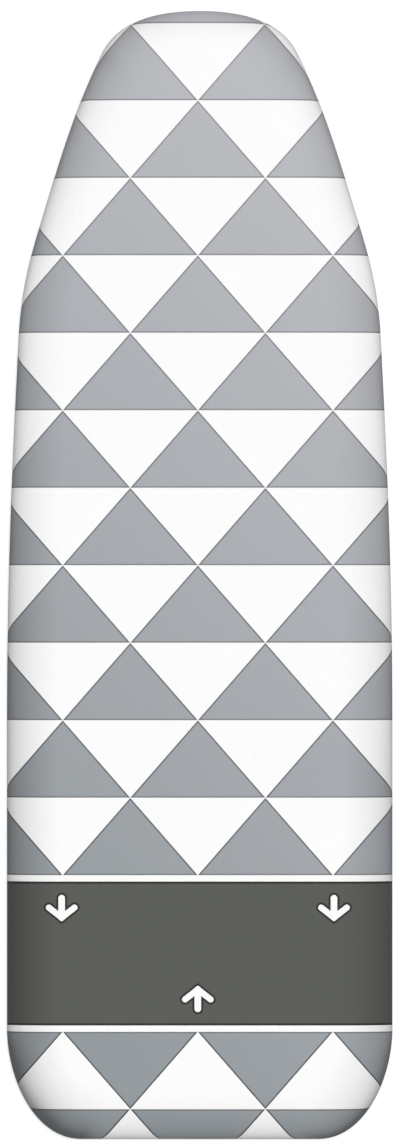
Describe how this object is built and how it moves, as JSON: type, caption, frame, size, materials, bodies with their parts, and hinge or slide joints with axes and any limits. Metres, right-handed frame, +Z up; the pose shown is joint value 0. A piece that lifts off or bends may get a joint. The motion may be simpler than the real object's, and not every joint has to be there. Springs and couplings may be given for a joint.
{
  "type": "ironing board cover",
  "caption": "Padded cotton ironing board cover with a blunt nose and a wide heel; an elastic hem pulls it tight round the board's edge.",
  "frame": {"origin": "under the middle of the cover, on the plane that the hem rests on", "axes": "+Y along the length towards the nose, +X across to the right, +Z up out of the ironing face"},
  "size_m": [0.41, 1.2, 0.0442],
  "materials": {
    "printed_cotton": "matt woven cotton, printed in greys on white",
    "foam": "open-cell foam",
    "felt": "needled felt",
    "binding_tape": "plain woven tape",
    "elastic": "ribbed woven elastic"
  },
  "bodies": {
    "root": {"cover_fabric": "printed_cotton", "foam_pad": "foam", "felt_underlay": "felt", "hem_binding": "binding_tape", "hem_elastic": "elastic"}
  },
  "joints": []
}
